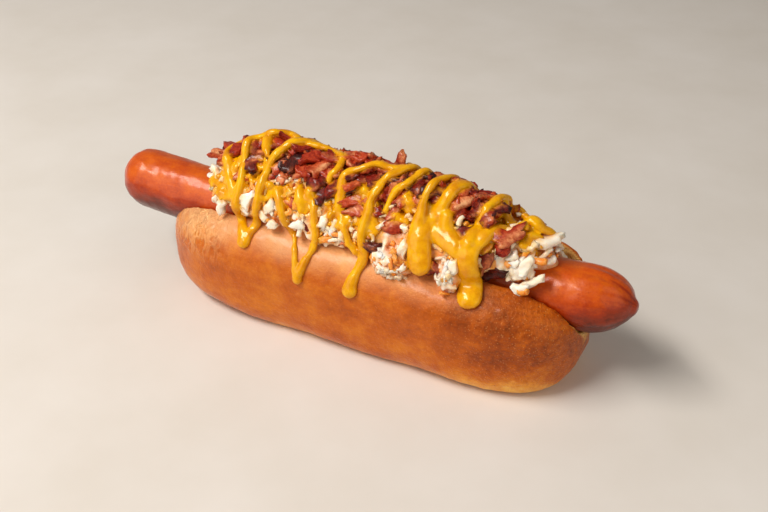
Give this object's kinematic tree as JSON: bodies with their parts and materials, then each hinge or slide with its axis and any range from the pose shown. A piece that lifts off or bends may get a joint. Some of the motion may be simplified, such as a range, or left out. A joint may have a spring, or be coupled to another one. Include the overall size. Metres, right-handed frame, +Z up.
{
  "type": "hot dog",
  "caption": "Long frank in a split golden bun, heaped with creamy slaw, chopped bacon and a zigzag of mustard; it lies flat on its base.",
  "frame": {"origin": "on the bun's flat underside, below the middle of the sausage", "axes": "+X along the sausage towards its longer, more pointed end, +Z up, -Y towards the side where the slaw hangs over the bun's edge"},
  "size_m": [0.226, 0.0615, 0.0763],
  "materials": {
    "bun_crust": "glossy baked brioche crust, golden brown",
    "sausage_skin": "taut moist casing, red brown",
    "slaw": "moist shredded cabbage and carrot in dressing, creamy white",
    "bacon": "fried chopped bacon, dark red with paler fat",
    "mustard": "wet yellow mustard"
  },
  "bodies": {
    "root": {"bun": "bun_crust", "sausage": "sausage_skin", "slaw_heap": "slaw", "bacon_topping": "bacon"}
  },
  "joints": []
}
